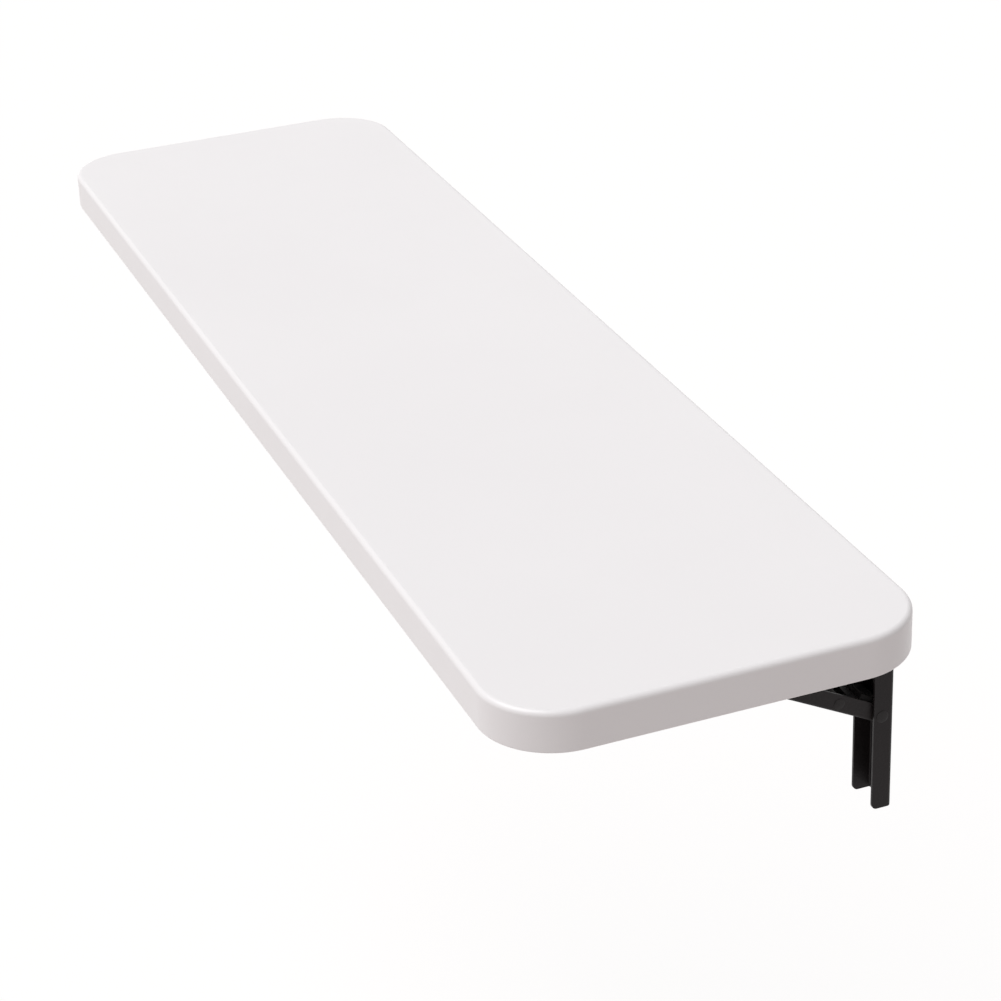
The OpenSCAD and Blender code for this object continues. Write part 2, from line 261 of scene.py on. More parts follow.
class MaterialMaker:
    """One material under way: its tree, its shader and its coordinates."""

    def __init__(self, name: str) -> None:
        """Start a material.

        Args:
            name: Name of the material.
        """
        self.material = bpy.data.materials.new(name)
        self.material.use_nodes = True
        self.tree = self.material.node_tree
        self.shader = self.tree.nodes["Principled BSDF"]
        self.place = self.tree.nodes.new("ShaderNodeTexCoord").outputs["Object"]

    def set(self, **values: "float | Colour") -> None:
        """Set sockets of the shader.

        Args:
            values: Numbers and colours by socket, with underscores for spaces.
        """
        for label, value in values.items():
            socket = self.shader.inputs[label.replace("_", " ")]
            socket.default_value = (*value, 1.0) if isinstance(value, tuple) else value

    def group(self, name: str, **values: "Link | float") -> bpy.types.Node:
        """Place a shared effect.

        Args:
            name: Name of the effect.
            values: Its inputs.

        Returns:
            The group node.
        """
        node = self.tree.nodes.new("ShaderNodeGroup")
        node.node_tree = GROUPS.get(name)
        self.tree.links.new(self.place, node.inputs["Vector"])
        for label, value in values.items():
            plug(self.tree, node.inputs[label], value)
        return node

    def mix(self, mask: "Link | float", a: "Link | Colour", b: "Link | Colour") -> Link:
        """Blend two colours by a mask.

        Args:
            mask: 0 gives a and 1 gives b.
            a: First colour.
            b: Second colour.

        Returns:
            The blended colour.
        """
        node = self.tree.nodes.new("ShaderNodeMix")
        node.data_type = "RGBA"
        plug(self.tree, node.inputs[0], mask)
        for socket, value in ((node.inputs[6], a), (node.inputs[7], b)):
            plug(self.tree, socket, (*value, 1.0) if isinstance(value, tuple) else value)
        return node.outputs[2]

    def math(self, operation: str, a: "Link | float", b: "Link | float") -> Link:
        """Add a Math node to this material."""
        return math_node(self.tree, operation, a, b)

    def edge(self) -> Link:
        """Read from the mesh where its edges were rounded.

        Returns:
            1 on a rounded edge and 0 elsewhere.
        """
        node = self.tree.nodes.new("ShaderNodeAttribute")
        node.attribute_name = EDGE_LAYER
        return node.outputs["Fac"]

    def upward(self) -> Link:
        """Tell how far the surface looks up.

        Returns:
            0 for a wall or an underside, up to 1 for a flat top.
        """
        geometry = self.tree.nodes.new("ShaderNodeNewGeometry")
        split = self.tree.nodes.new("ShaderNodeSeparateXYZ")
        self.tree.links.new(geometry.outputs["Normal"], split.inputs[0])
        return self.math("MAXIMUM", split.outputs["Z"], 0.0)

    def bump(self, height: Link, depth: float) -> None:
        """Raise the surface by a height.

        Args:
            height: Height from 0 to 1.
            depth: Depth of the relief in metres.
        """
        node = self.tree.nodes.new("ShaderNodeBump")
        node.inputs["Distance"].default_value = depth
        self.tree.links.new(height, node.inputs["Height"])
        self.tree.links.new(node.outputs["Normal"], self.shader.inputs["Normal"])

    def feed(self, label: str, value: Link) -> None:
        """Feed a socket of the shader."""
        self.tree.links.new(value, self.shader.inputs[label])

    def mottled_colour(
        self, per_m: float, depth: float, bias: float, a: Colour, b: Colour
    ) -> Link:
        """Drift slowly from one colour to another across the surface.

        Args:
            per_m: Patches to the metre.
            depth: Strength of the change.
            bias: Middle of the blend, from 0 for a to 1 for b.
            a: First colour.
            b: Second colour.

        Returns:
            The changing colour.
        """
        slow = self.group("mottle", Scale=per_m, Depth=depth)
        return self.mix(self.math("ADD", slow.outputs["Change"], bias), a, b)

    def mottled_roughness(self, per_m: float, depth: float, middle: float) -> None:
        """Let the roughness wander.

        Args:
            per_m: Patches to the metre.
            depth: Strength of the change.
            middle: Roughness in the middle.
        """
        patches = self.group("mottle", Scale=per_m, Depth=depth)
        self.feed("Roughness", self.math("ADD", patches.outputs["Change"], middle))

    def peel(self, per_m: float, grain: float, depth: float) -> None:
        """Raise the surface by orange peel.

        Args:
            per_m: Waves to the metre.
            grain: How many times finer the grain on the waves is.
            depth: Depth of the relief in metres.
        """
        waves = self.group("orange_peel", Scale=per_m, Grain=grain)
        self.bump(waves.outputs["Height"], depth)


@dataclass(frozen=True)
class SkinFinish:
    """Satin white moulded skin."""

    colour: Colour = (0.862, 0.842, 0.852)
    shade: Colour = (0.832, 0.812, 0.822)
    shade_share: float = 0.35
    shade_depth: float = 1.2
    patches_per_m: float = 6.0
    roughness: float = 0.36
    roughness_depth: float = 0.10
    smears_per_m: float = 24.0
    gloss: float = 0.12
    gloss_roughness: float = 0.18
    peel_per_m: float = 260.0
    peel_grain: float = 4.0
    peel_depth: float = 0.02 * MM

    def make(self) -> bpy.types.Material:
        """Build the material.

        Returns:
            The finished material.
        """
        m = MaterialMaker("white_skin")
        m.set(Coat_Weight=self.gloss, Coat_Roughness=self.gloss_roughness)
        colour = m.mottled_colour(
            self.patches_per_m, self.shade_depth, self.shade_share, self.colour, self.shade
        )
        m.feed("Base Color", colour)
        m.mottled_roughness(self.smears_per_m, self.roughness_depth, self.roughness)
        m.peel(self.peel_per_m, self.peel_grain, self.peel_depth)
        return m.material


@dataclass(frozen=True)
class BackingFinish:
    """Matt pale backing sheet under the board."""

    colour: Colour = (0.74, 0.725, 0.715)
    fleck: Colour = (0.60, 0.585, 0.57)
    flecks_per_m: float = 900.0
    fleck_octaves: float = 2.0
    fleck_start: float = 0.55
    fleck_contrast: float = 3.0
    roughness: float = 0.62
    roughness_depth: float = 0.12
    patches_per_m: float = 12.0
    peel_per_m: float = 1400.0
    peel_grain: float = 2.0
    peel_depth: float = 0.03 * MM

    def make(self) -> bpy.types.Material:
        """Build the material.

        Returns:
            The finished material.
        """
        m = MaterialMaker("backing_sheet")
        fleck = noise_node(m.tree, m.place, self.flecks_per_m, self.fleck_octaves)
        above = m.math("SUBTRACT", fleck, self.fleck_start)
        mask = m.math("MULTIPLY", above, self.fleck_contrast)
        mask.node.use_clamp = True
        m.feed("Base Color", m.mix(mask, self.colour, self.fleck))
        m.mottled_roughness(self.patches_per_m, self.roughness_depth, self.roughness)
        m.peel(self.peel_per_m, self.peel_grain, self.peel_depth)
        return m.material


@dataclass(frozen=True)
class CoreFinish:
    """Raw fibreboard inside the skin."""

    colour: Colour = (0.52, 0.37, 0.22)
    fibre: Colour = (0.38, 0.25, 0.14)
    fibres_per_m: float = 700.0
    fibre_octaves: float = 5.0
    fibre_depth: float = 0.1 * MM
    roughness: float = 0.85

    def make(self) -> bpy.types.Material:
        """Build the material.

        Returns:
            The finished material.
        """
        m = MaterialMaker("fibreboard")
        m.set(Roughness=self.roughness)
        fibre = noise_node(m.tree, m.place, self.fibres_per_m, self.fibre_octaves)
        m.feed("Base Color", m.mix(fibre, self.colour, self.fibre))
        m.bump(fibre, self.fibre_depth)
        return m.material


@dataclass(frozen=True)
class PowderCoatFinish:
    """Satin black powder coat on steel."""

    name: str = "black_powder_coat"
    colour: Colour = (0.0115, 0.0089, 0.0093)
    dull: Colour = (0.0175, 0.0142, 0.0148)
    worn: Colour = (0.11, 0.10, 0.097)
    dusty: Colour = (0.16, 0.15, 0.145)
    dull_share: float = 0.4
    dull_depth: float = 1.6
    patches_per_m: float = 35.0
    shine: float = 0.20
    roughness: float = 0.44
    roughness_depth: float = 0.16
    smears_per_m: float = 140.0
    wear: float = 0.42
    wear_per_m: float = 520.0
    dust: float = 0.07
    dust_per_m: float = 90.0
    peel_per_m: float = 620.0
    peel_grain: float = 2.5
    peel_depth: float = 0.10 * MM

    def make(self) -> bpy.types.Material:
        """Build the material.

        Returns:
            The finished material.
        """
        m = MaterialMaker(self.name)
        m.set(Specular_IOR_Level=self.shine)
        base = m.mottled_colour(
            self.patches_per_m, self.dull_depth, self.dull_share, self.colour, self.dull
        )
        wear = m.group("edge_wear", Edge=m.edge(), Amount=self.wear, Scale=self.wear_per_m)
        rubbed = m.mix(wear.outputs["Mask"], base, self.worn)
        dust = m.group("dust", Up=m.upward(), Amount=self.dust, Scale=self.dust_per_m)
        m.feed("Base Color", m.mix(dust.outputs["Mask"], rubbed, self.dusty))
        m.mottled_roughness(self.smears_per_m, self.roughness_depth, self.roughness)
        m.peel(self.peel_per_m, self.peel_grain, self.peel_depth)
        return m.material


@dataclass(frozen=True)
class SteelFinish:
    """Bare steel, turned or zinc plated."""

    name: str
    colour: Colour
    tint: Colour
    roughness: float
    rings_per_m: float
    tint_share: float = 0.4
    tint_depth: float = 1.6
    patches_per_m: float = 220.0
    roughness_depth: float = 0.25
    smears_per_m: float = 500.0
    ring_wander: float = 1.5
    ring_depth: float = 0.01 * MM

    def make(self) -> bpy.types.Material:
        """Build the material.

        Returns:
            The finished material.
        """
        m = MaterialMaker(self.name)
        m.set(Metallic=1.0)
        colour = m.mottled_colour(
            self.patches_per_m, self.tint_depth, self.tint_share, self.colour, self.tint
        )
        m.feed("Base Color", colour)
        m.mottled_roughness(self.smears_per_m, self.roughness_depth, self.roughness)
        rings = m.tree.nodes.new("ShaderNodeTexWave")
        rings.bands_direction = "X"
        rings.inputs["Scale"].default_value = self.rings_per_m
        rings.inputs["Distortion"].default_value = self.ring_wander
        m.tree.links.new(m.place, rings.inputs["Vector"])
        m.bump(rings.outputs["Fac"], self.ring_depth)
        return m.material


@dataclass(frozen=True)
class PlasticFinish:
    """Moulded plastic or rubber with a fine spark-eroded grain."""

    name: str
    colour: Colour
    worn: Colour
    roughness: float
    peel_per_m: float
    peel_depth: float
    shine: float = 0.5
    wear: float = 0.4
    wear_per_m: float = 700.0
    roughness_depth: float = 0.15
    smears_per_m: float = 300.0
    peel_grain: float = 2.0

    def make(self) -> bpy.types.Material:
        """Build the material.

        Returns:
            The finished material.
        """
        m = MaterialMaker(self.name)
        m.set(Specular_IOR_Level=self.shine)
        wear = m.group("edge_wear", Edge=m.edge(), Amount=self.wear, Scale=self.wear_per_m)
        m.feed("Base Color", m.mix(wear.outputs["Mask"], self.colour, self.worn))
        m.mottled_roughness(self.smears_per_m, self.roughness_depth, self.roughness)
        m.peel(self.peel_per_m, self.peel_grain, self.peel_depth)
        return m.material


RIVET_PAINT = PowderCoatFinish(
    name="black_rivet_paint",
    colour=(0.018, 0.016, 0.016),
    roughness=0.34,
    wear=0.5,
)
TUBE_PAINT = PowderCoatFinish(
    name="black_tube_paint",
    colour=(0.006, 0.005, 0.005),
    dull=(0.010, 0.008, 0.008),
    roughness=0.72,
)
TURNED_STEEL = SteelFinish(
    name="turned_steel",
    colour=(0.46, 0.46, 0.47),
    tint=(0.36, 0.36, 0.37),
    roughness=0.30,
    rings_per_m=900.0,
)
ZINC_PLATE = SteelFinish(
    name="zinc_plate",
    colour=(0.58, 0.59, 0.61),
    tint=(0.48, 0.50, 0.52),
    roughness=0.36,
    rings_per_m=300.0,
)
NYLON = PlasticFinish(
    name="nylon",
    colour=(0.74, 0.71, 0.63),
    worn=(0.82, 0.80, 0.74),
    roughness=0.45,
    peel_per_m=900.0,
    peel_depth=0.02 * MM,
)
BLACK_PLASTIC = PlasticFinish(
    name="black_plastic",
    colour=(0.020, 0.020, 0.021),
    worn=(0.07, 0.07, 0.07),
    roughness=0.55,
    peel_per_m=1300.0,
    peel_depth=0.08 * MM,
)
# Near-black, barely shiny rubber for the block in each brace's channel: painted shade, a dark block put
# where, under the board, there is only shade between the brace, the leg and the board.
SHADE_FILL_RUBBER = PlasticFinish(
    name="shade_fill_rubber",
    colour=(0.0085, 0.0080, 0.0080),
    worn=(0.022, 0.021, 0.020),
    roughness=0.78,
    peel_per_m=1100.0,
    peel_depth=0.05 * MM,
    shine=0.15,
)


@dataclass
class FinishSet:
    """Every finish of the table, made once."""

    skin: bpy.types.Material = field(default_factory=SkinFinish().make)
    backing: bpy.types.Material = field(default_factory=BackingFinish().make)
    core: bpy.types.Material = field(default_factory=CoreFinish().make)
    coat: bpy.types.Material = field(default_factory=PowderCoatFinish().make)
    rivet: bpy.types.Material = field(default_factory=RIVET_PAINT.make)
    tube: bpy.types.Material = field(default_factory=TUBE_PAINT.make)
    pin: bpy.types.Material = field(default_factory=TURNED_STEEL.make)
    zinc: bpy.types.Material = field(default_factory=ZINC_PLATE.make)
    nylon: bpy.types.Material = field(default_factory=NYLON.make)
    cap: bpy.types.Material = field(default_factory=BLACK_PLASTIC.make)
    # Finish of the brace's dark block: painted shade standing in for the shade under the board.
    buffer: bpy.types.Material = field(default_factory=SHADE_FILL_RUBBER.make)


def finish_mesh(name: str, bm: bmesh.types.BMesh) -> bpy.types.Object:
    """Turn a bmesh into an object with smooth faces and sharp creases.

    Args:
        name: Name of the piece.
        bm: Mesh, freed here.

    Returns:
        The linked object.
    """
    bmesh.ops.recalc_face_normals(bm, faces=bm.faces)
    mesh = bpy.data.meshes.new(name)
    bm.to_mesh(mesh)
    bm.free()
    mesh.polygons.foreach_set("use_smooth", [True] * len(mesh.polygons))
    mesh.set_sharp_from_angle(angle=math.radians(CREASE_DEG))
    piece = bpy.data.objects.new(name, mesh)
    bpy.context.scene.collection.objects.link(piece)
    flat_faces = piece.modifiers.new("flat_faces", "WEIGHTED_NORMAL")
    flat_faces.keep_sharp = True
    flat_faces.weight = FACE_AREA_WEIGHT
    return piece


def dress(piece: bpy.types.Object, material: bpy.types.Material) -> None:
    """Give a piece its only material."""
    piece.data.materials.clear()
    piece.data.materials.append(material)


def settle(
    piece: bpy.types.Object, material: bpy.types.Material, body: Body, node: str
) -> None:
    """Dress a piece, tie it to its body and hide the CAD node that it replaces.

    Args:
        piece: The finished piece.
        material: Its finish.
        body: The body that it moves with.
        node: The CAD node that it replaces.
    """
    dress(piece, material)
    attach(piece, body.value)
    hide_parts(node)
    log.info("%s: %d faces on %s", piece.name, len(piece.data.polygons), body.value)


def softened(node: str, name: str, width: float, steps: int = 2) -> bpy.types.Object:
    """Copy a CAD node's surface with every sharp edge rounded over.

    Args:
        node: The CAD node.
        name: Name of the new piece.
        width: Width of the rounding.
        steps: Segments across the rounding.

    Returns:
        The new piece, whose rounded edges carry the edge layer.
    """
    bm = bmesh.new()
    bm.from_mesh(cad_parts[node].data)
    bmesh.ops.remove_doubles(bm, verts=bm.verts, dist=MERGE_DISTANCE)
    bmesh.ops.dissolve_limit(
        bm, angle_limit=math.radians(FLAT_DEG), verts=bm.verts, edges=bm.edges
    )
    limit = math.radians(SHARP_DEG)
    sharp = [e for e in bm.edges if e.is_manifold and e.calc_face_angle() > limit]
    edge = bm.faces.layers.float.new(EDGE_LAYER)
    made = bmesh.ops.bevel(
        bm, geom=sharp, offset=width, segments=steps, profile=0.5, affect="EDGES", clamp_overlap=True
    )
    for face in made["faces"]:
        face[edge] = 1.0
    return finish_mesh(name, bm)


def quarter(steps: int) -> list[float]:
    """Angles from 0 to a right angle, in equal steps."""
    return [math.pi / 2 * k / steps for k in range(steps + 1)]


def lathe(bm: bmesh.types.BMesh, profile: Profile, middle: Vector, closed: bool) -> None:
    """Turn a profile about a line along X.

    Args:
        bm: Mesh to add to.
        profile: Points as distance along X and radius.
        middle: A point on the line, where the profile's X is 0.
        closed: True for a ring, whose last point joins its first.
    """
    angles = [2 * math.pi * k / TURNS for k in range(TURNS)]
    rings: list[list[bmesh.types.BMVert]] = []
    for x, r in profile:
        if r > 0.0:
            spots = [Vector((x, r * math.cos(a), r * math.sin(a))) for a in angles]
        else:
            spots = [Vector((x, 0, 0))]
        rings.append([bm.verts.new(middle + spot) for spot in spots])
    pairs = list(zip(rings, rings[1:]))
    if closed:
        pairs.append((rings[-1], rings[0]))
    for a, b in pairs:
        for k in range(TURNS):
            j = (k + 1) % TURNS
            loop = [a[k % len(a)], a[j % len(a)], b[j % len(b)], b[k % len(b)]]
            bm.faces.new(list(dict.fromkeys(loop)))


@dataclass(frozen=True)
class TurnedSize:
    """Sizes of a turned CAD node whose axis runs along X."""

    middle: Vector
    half: float
    shoulder: float
    outer_r: float
    inner_r: float

    @classmethod
    def of(cls, node: str) -> "TurnedSize":
        """Measure a node.

        Args:
            node: The CAD node.

        Returns:
            Its middle and half length, half the length between its heads or its
            two rings, its largest radius, and the radius of its shank or bore.
        """
        low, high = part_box(node)
        middle = (low + high) / 2
        offsets = [v.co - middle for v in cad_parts[node].data.vertices]
        reach = [abs(o.x) for o in offsets]
        radii = [math.hypot(o.y, o.z) for o in offsets]
        return cls(middle, max(reach), min(reach), max(radii), min(radii))


@dataclass(frozen=True)
class RivetHead:
    """Shape of a low domed head, as shares of its height and radius."""

    rim_share: float = 0.25
    foot_share: float = 0.97
    ease_share: float = 0.4

    def profile(self, size: TurnedSize) -> Profile:
        """Profile of a pin with such a head at each end.

        Args:
            size: Sizes of the pin.

        Returns:
            Points from one crown to the other.
        """
        seat, head_r = size.shoulder, size.outer_r
        height = size.half - seat
        rim = height * self.rim_share
        foot = [
            (seat, size.inner_r),
            (seat, head_r * self.foot_share),
            (seat + rim * self.ease_share, head_r),
        ]
        dome = [
            (seat + rim + (height - rim) * math.sin(t), head_r * math.cos(t))
            for t in quarter(DOME_STEPS)
        ]
        dome[-1] = (size.half, 0.0)
        right = foot + dome
        left = [(-x, r) for x, r in reversed(right)]
        return left + right


def ring_profile(inner: float, outer: float, x0: float, x1: float, chamfer: float) -> Profile:
    """Closed profile of a washer, roller or tube with chamfered rims.

    Args:
        inner: Radius of the bore.
        outer: Outer radius.
        x0: One end along X.
        x1: The other end.
        chamfer: Width of the chamfers.

    Returns:
        The profile's eight points.
    """
    c = chamfer
    return [
        (x0 + c, inner), (x1 - c, inner), (x1, inner + c), (x1, outer - c),
        (x1 - c, outer), (x0 + c, outer), (x0, outer - c), (x0, inner + c),
    ]


@dataclass
class Board:
    """The board: moulded skin, backing sheet and core."""

    front_corner_r: float = 52 * MM
    wall_corner_r: float = 52 * MM
    upper_edge_r: float = 4 * MM
    lower_edge_r: float = 1.5 * MM
    skin_t: float = 2 * MM
    seam: float = 0.25 * MM
    lip: float = 0.3 * MM
    flat_rings: tuple[float, float] = (12 * MM, 3 * MM)
    corner_steps: int = 28
    upper_steps: int = 12
    lower_steps: int = 4

    def __post_init__(self) -> None:
        """Read the board's box from the frame."""
        self.low, self.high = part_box("board_shell")

    def _ring(self, inset: float) -> list[tuple[float, float]]:
        """Outline of the board as plan points.

        Args:
            inset: Distance inside the board's edge.

        Returns:
            Points round the board, seen from above.
        """
        front, wall = self.front_corner_r, self.wall_corner_r
        corners = (
            (self.high.x, self.low.y + front, front, -90),
            (self.high.x, self.high.y - wall, wall, 0),
            (self.low.x, self.high.y - wall, wall, 90),
            (self.low.x, self.low.y + front, front, 180),
        )
        points = []
        for x, cy, radius, start in corners:
            cx = x - math.copysign(radius, x)
            for turn in quarter(self.corner_steps):
                a = math.radians(start) + turn
                points.append((cx + (radius - inset) * math.cos(a), cy + (radius - inset) * math.sin(a)))
        return points

    def _outer_profile(self) -> Profile:
        """Draw the skin's outside, from the top's flat down round to the lower lip.

        Returns:
            Points as inset and height.
        """
        r, s = self.upper_edge_r, self.lower_edge_r
        top, base = self.high.z, self.low.z
        flat = [(r + ring, top) for ring in self.flat_rings]
        upper = [
            (r - r * math.sin(t), top - r + r * math.cos(t)) for t in quarter(self.upper_steps)
        ]
        lower = [
            (s - s * math.cos(t), base + s - s * math.sin(t)) for t in quarter(self.lower_steps)
        ]
        return flat + upper + lower

    def _inner_profile(self) -> Profile:
        """Draw the skin's inside, from the lip up to the flat.

        Returns:
            Points as inset and height.
        """
        t, r = self.skin_t, self.upper_edge_r - self.skin_t
        top, base = self.high.z - t, self.low.z
        arc = [
            (t + r - r * math.cos(a), top - r + r * math.sin(a)) for a in quarter(self.upper_steps)
        ]
        return [(t, base), (t, base + self.lip), *arc]

    def _sweep(self, name: str, profile: Profile) -> bpy.types.Object:
        """Sweep a profile round the outline and close both ends with flat faces.

        Args:
            name: Name of the piece.
            profile: Points as inset and height.

        Returns:
            The closed piece.
        """
        bm = bmesh.new()
        rings = [[bm.verts.new((x, y, z)) for x, y in self._ring(inset)] for inset, z in profile]
        for a, b in zip(rings, rings[1:]):
            for k in range(len(a)):
                j = (k + 1) % len(a)
                bm.faces.new((a[k], a[j], b[j], b[k]))
        bm.faces.new(rings[0])
        bm.faces.new(rings[-1])
        return finish_mesh(name, bm)

    def build_skin(self, finish: bpy.types.Material) -> None:
        """Build the white skin, outside and inside."""
        skin = self._sweep("board_skin", self._outer_profile() + self._inner_profile())
        settle(skin, finish, Body.TOP, "board_shell")

    def build_backing(self, finish: bpy.types.Material) -> None:
        """Build the backing sheet with a fine seam round it.

        Args:
            finish: Its finish.
        """
        low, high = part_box("board_backer")
        inset = self.skin_t + self.seam
        profile = [(inset, high.z), (inset, low.z + self.lip), (inset + self.lip, low.z)]
        backing = self._sweep("backing_sheet", profile)
        settle(backing, finish, Body.TOP, "board_backer")

    def dress_core(self, finish: bpy.types.Material) -> None:
        """Give the hidden core its fibreboard finish."""
        dress(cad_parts["board_core"], finish)
        log.info("board_core: dressed")


@dataclass(frozen=True)
class ScrewShape:
    """A pan head screw with a cross recess."""

    head_r: float = 4.5 * MM
    head_h: float = 2.4 * MM
    dome_share: float = 0.75
    shank_r: float = 2.0 * MM
    recess_w: float = 1.1 * MM
    recess_l: float = 5.0 * MM
    recess_d: float = 1.4 * MM

    def mesh(self, length: float) -> bpy.types.Mesh:
        """Build one screw along +X from its head's crown.

        Args:
            length: Whole length.

        Returns:
            The mesh, with its recess cut.
        """
        dome_h = self.head_h * self.dome_share
        dome = [
            (dome_h * (1 - math.cos(t)), self.head_r * math.sin(t)) for t in quarter(DOME_STEPS)
        ]
        shank = [
            (self.head_h, self.head_r),
            (self.head_h, self.shank_r),
            (length - self.shank_r, self.shank_r),
            (length, 0.0),
        ]
        bm = bmesh.new()
        lathe(bm, dome + shank, Vector((0, 0, 0)), closed=False)
        body = finish_mesh("screw_blank", bm)
        bm = bmesh.new()
        for slot in ((self.recess_l, self.recess_w), (self.recess_w, self.recess_l)):
            size = Matrix.Diagonal((2 * self.recess_d, *slot, 1.0))
            bmesh.ops.create_cube(bm, size=1.0, matrix=size)
        cutter = finish_mesh("screw_recess", bm)
        cut = body.modifiers.new("recess", "BOOLEAN")
        cut.operation = "DIFFERENCE"
        cut.use_self = True
        cut.object = cutter
        graph = bpy.context.evaluated_depsgraph_get()
        mesh = bpy.data.meshes.new_from_object(body.evaluated_get(graph))
        bpy.data.objects.remove(body)
        bpy.data.objects.remove(cutter)
        return mesh


@dataclass
class Bracket:
    """One folding bracket: leg, arm, brace and everything that joins them."""

    side: Side
    finishes: FinishSet
    edge: float = 0.35 * MM
    cap_edge: float = 0.7 * MM
    pin_chamfer: float = 0.5 * MM
    ring_chamfer: float = 0.15 * MM
    moulded_steps: int = 3
    pad_end: float = 18.5 * MM
    pad_longer: float = 2.0 * MM
    crown_depth: float = 0.1 * MM
    first_turn_deg: float = 17.0
    turn_step_deg: float = 31.0
    head: RivetHead = field(default_factory=RivetHead)
    screw: ScrewShape = field(default_factory=ScrewShape)

    def _node(self, part: str) -> str:
        """Name of this side's CAD node."""
        return f"{part}_{self.side.value}"

    def _name(self, part: str, made: str) -> str:
        """Name of a piece, from its part and how it is made."""
        return f"{part}_{made}_{self.side.value}"

    def build_channel(self, part: str, body: Body) -> None:
        """Build a bent steel channel with its sheared edges eased.

        Args:
            part: Name of the part, without its side.
            body: The body that it moves with.
        """
        node = self._node(part)
        piece = softened(node, self._name(part, "steel"), self.edge)
        settle(piece, self.finishes.coat, body, node)

    def build_pin(self, part: str, body: Body, finish: bpy.types.Material) -> None:
        """Build a pin with domed heads.

        Args:
            part: Name of the part, without its side.
            body: The body that it moves with.
            finish: Its finish.
        """
        node = self._node(part)
        size = TurnedSize.of(node)
        bm = bmesh.new()
        lathe(bm, self.head.profile(size), size.middle, closed=False)
        settle(finish_mesh(self._name(part, "turned"), bm), finish, body, node)

    def build_plain_pin(self, part: str, body: Body, finish: bpy.types.Material) -> None:
        """Build a headless pin with chamfered ends.

        Args:
            part: Name of the part, without its side.
            body: The body that it moves with.
            finish: Its finish.
        """
        node = self._node(part)
        size = TurnedSize.of(node)
        half, r, c = size.half, size.outer_r, self.pin_chamfer
        right = [(half - c, r), (half, r - c), (half, 0.0)]
        left = [(-x, radius) for x, radius in reversed(right)]
        bm = bmesh.new()
        lathe(bm, left + right, size.middle, closed=False)
        settle(finish_mesh(self._name(part, "turned"), bm), finish, body, node)

    def build_rings(self, part: str, body: Body) -> None:
        """Build the two nylon rings of one node, one at each side of the bracket.

        Args:
            part: Name of the part, without its side.
            body: The body that it moves with.
        """
        node = self._node(part)
        size = TurnedSize.of(node)
        bm = bmesh.new()
        for x0, x1 in ((-size.half, -size.shoulder), (size.shoulder, size.half)):
            profile = ring_profile(size.inner_r, size.outer_r, x0, x1, self.ring_chamfer)
            lathe(bm, profile, size.middle, closed=True)
        piece = finish_mesh(self._name(part, "moulded"), bm)
        settle(piece, self.finishes.nylon, body, node)

    def build_tube(self, body: Body) -> None:
        """Build the spacer tube between the brace's flanges.

        Args:
            body: The body that it moves with.
        """
        node = self._node("spacer_tube")
        size = TurnedSize.of(node)
        profile = ring_profile(size.inner_r, size.outer_r, -size.half, size.half, self.ring_chamfer)
        bm = bmesh.new()
        lathe(bm, profile, size.middle, closed=True)
        piece = finish_mesh(self._name("spacer_tube", "cut"), bm)
        settle(piece, self.finishes.tube, body, node)

    def build_shade_fill_block(self, body: Body) -> None:
        """Build the near-black rubber block in the brace's channel, with its pad drawn out a little; the
        block is painted shade that fills the dark gap under the board between the brace and the leg.

        Args:
            body: The body that it moves with.
        """
        node = self._node("brace_buffer")
        name = self._name("brace_buffer", "moulded")
        piece = softened(node, name, self.edge, self.moulded_steps)
        heel = TurnedSize.of(self._node("brace_pin")).middle
        toe = TurnedSize.of(self._node("slide_pin")).middle
        along = (toe - heel).normalized()
        for vertex in piece.data.vertices:
            if abs((vertex.co - heel).dot(along) - self.pad_end) < 2 * self.edge:
                vertex.co += self.pad_longer * along
        settle(piece, self.finishes.buffer, body, node)

    def build_end_cap(self) -> None:
        """Build the plastic cap on the arm's front end."""
        node = self._node("arm_end_cap")
        name = self._name("arm_end_cap", "moulded")
        piece = softened(node, name, self.cap_edge, self.moulded_steps)
        settle(piece, self.finishes.cap, Body.TOP, node)

    def _screw_spots(self, node: str) -> list[Vector]:
        """Find where the crowns of a node's screws are.

        Args:
            node: The CAD node that holds one arm's screws.

        Returns:
            The middle of each crown, from the front of the board to the wall.
        """
        low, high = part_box(node)
        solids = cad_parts[node].data.vertices
        crowns = sorted(v.co.y for v in solids if v.co.z < low.z + self.crown_depth)
        rows: list[list[float]] = []
        for y in crowns:
            if not rows or y - rows[-1][-1] > self.screw.head_r:
                rows.append([])
            rows[-1].append(y)
        x = (low.x + high.x) / 2
        return [Vector((x, (row[0] + row[-1]) / 2, low.z)) for row in rows]

    def build_screws(self) -> None:
        """Build the board screws of this arm, each turned its own way."""
        node = self._node("board_screws")
        low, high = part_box(node)
        mesh = self.screw.mesh(high.z - low.z)
        stand = Matrix.Rotation(math.radians(-90), 4, "Y")
        bm = bmesh.new()
        for number, spot in enumerate(self._screw_spots(node)):
            angle = math.radians(self.first_turn_deg + self.turn_step_deg * number)
            turn = Matrix.Rotation(angle, 4, "Z")
            copy = mesh.copy()
            copy.transform(Matrix.Translation(spot) @ turn @ stand)
            bm.from_mesh(copy)
            bpy.data.meshes.remove(copy)
        piece = finish_mesh(self._name("board_screws", "plated"), bm)
        settle(piece, self.finishes.zinc, Body.TOP, node)

    def build(self) -> None:
        """Build every piece of the bracket."""
        swing = Body.brace(self.side)
        f = self.finishes
        self.build_channel("wall_leg", Body.LEGS)
        self.build_channel("arm", Body.TOP)
        self.build_channel("brace", swing)
        self.build_pin("hinge_pin", Body.LEGS, f.pin)
        self.build_pin("brace_pin", Body.LEGS, f.rivet)
        self.build_pin("spacer_rivet", swing, f.rivet)
        self.build_plain_pin("slide_pin", swing, f.pin)
        self.build_rings("hinge_washers", Body.LEGS)
        self.build_rings("brace_washers", Body.LEGS)
        self.build_rings("slide_rollers", swing)
        self.build_tube(swing)
        self.build_shade_fill_block(swing)
        self.build_end_cap()
        self.build_screws()


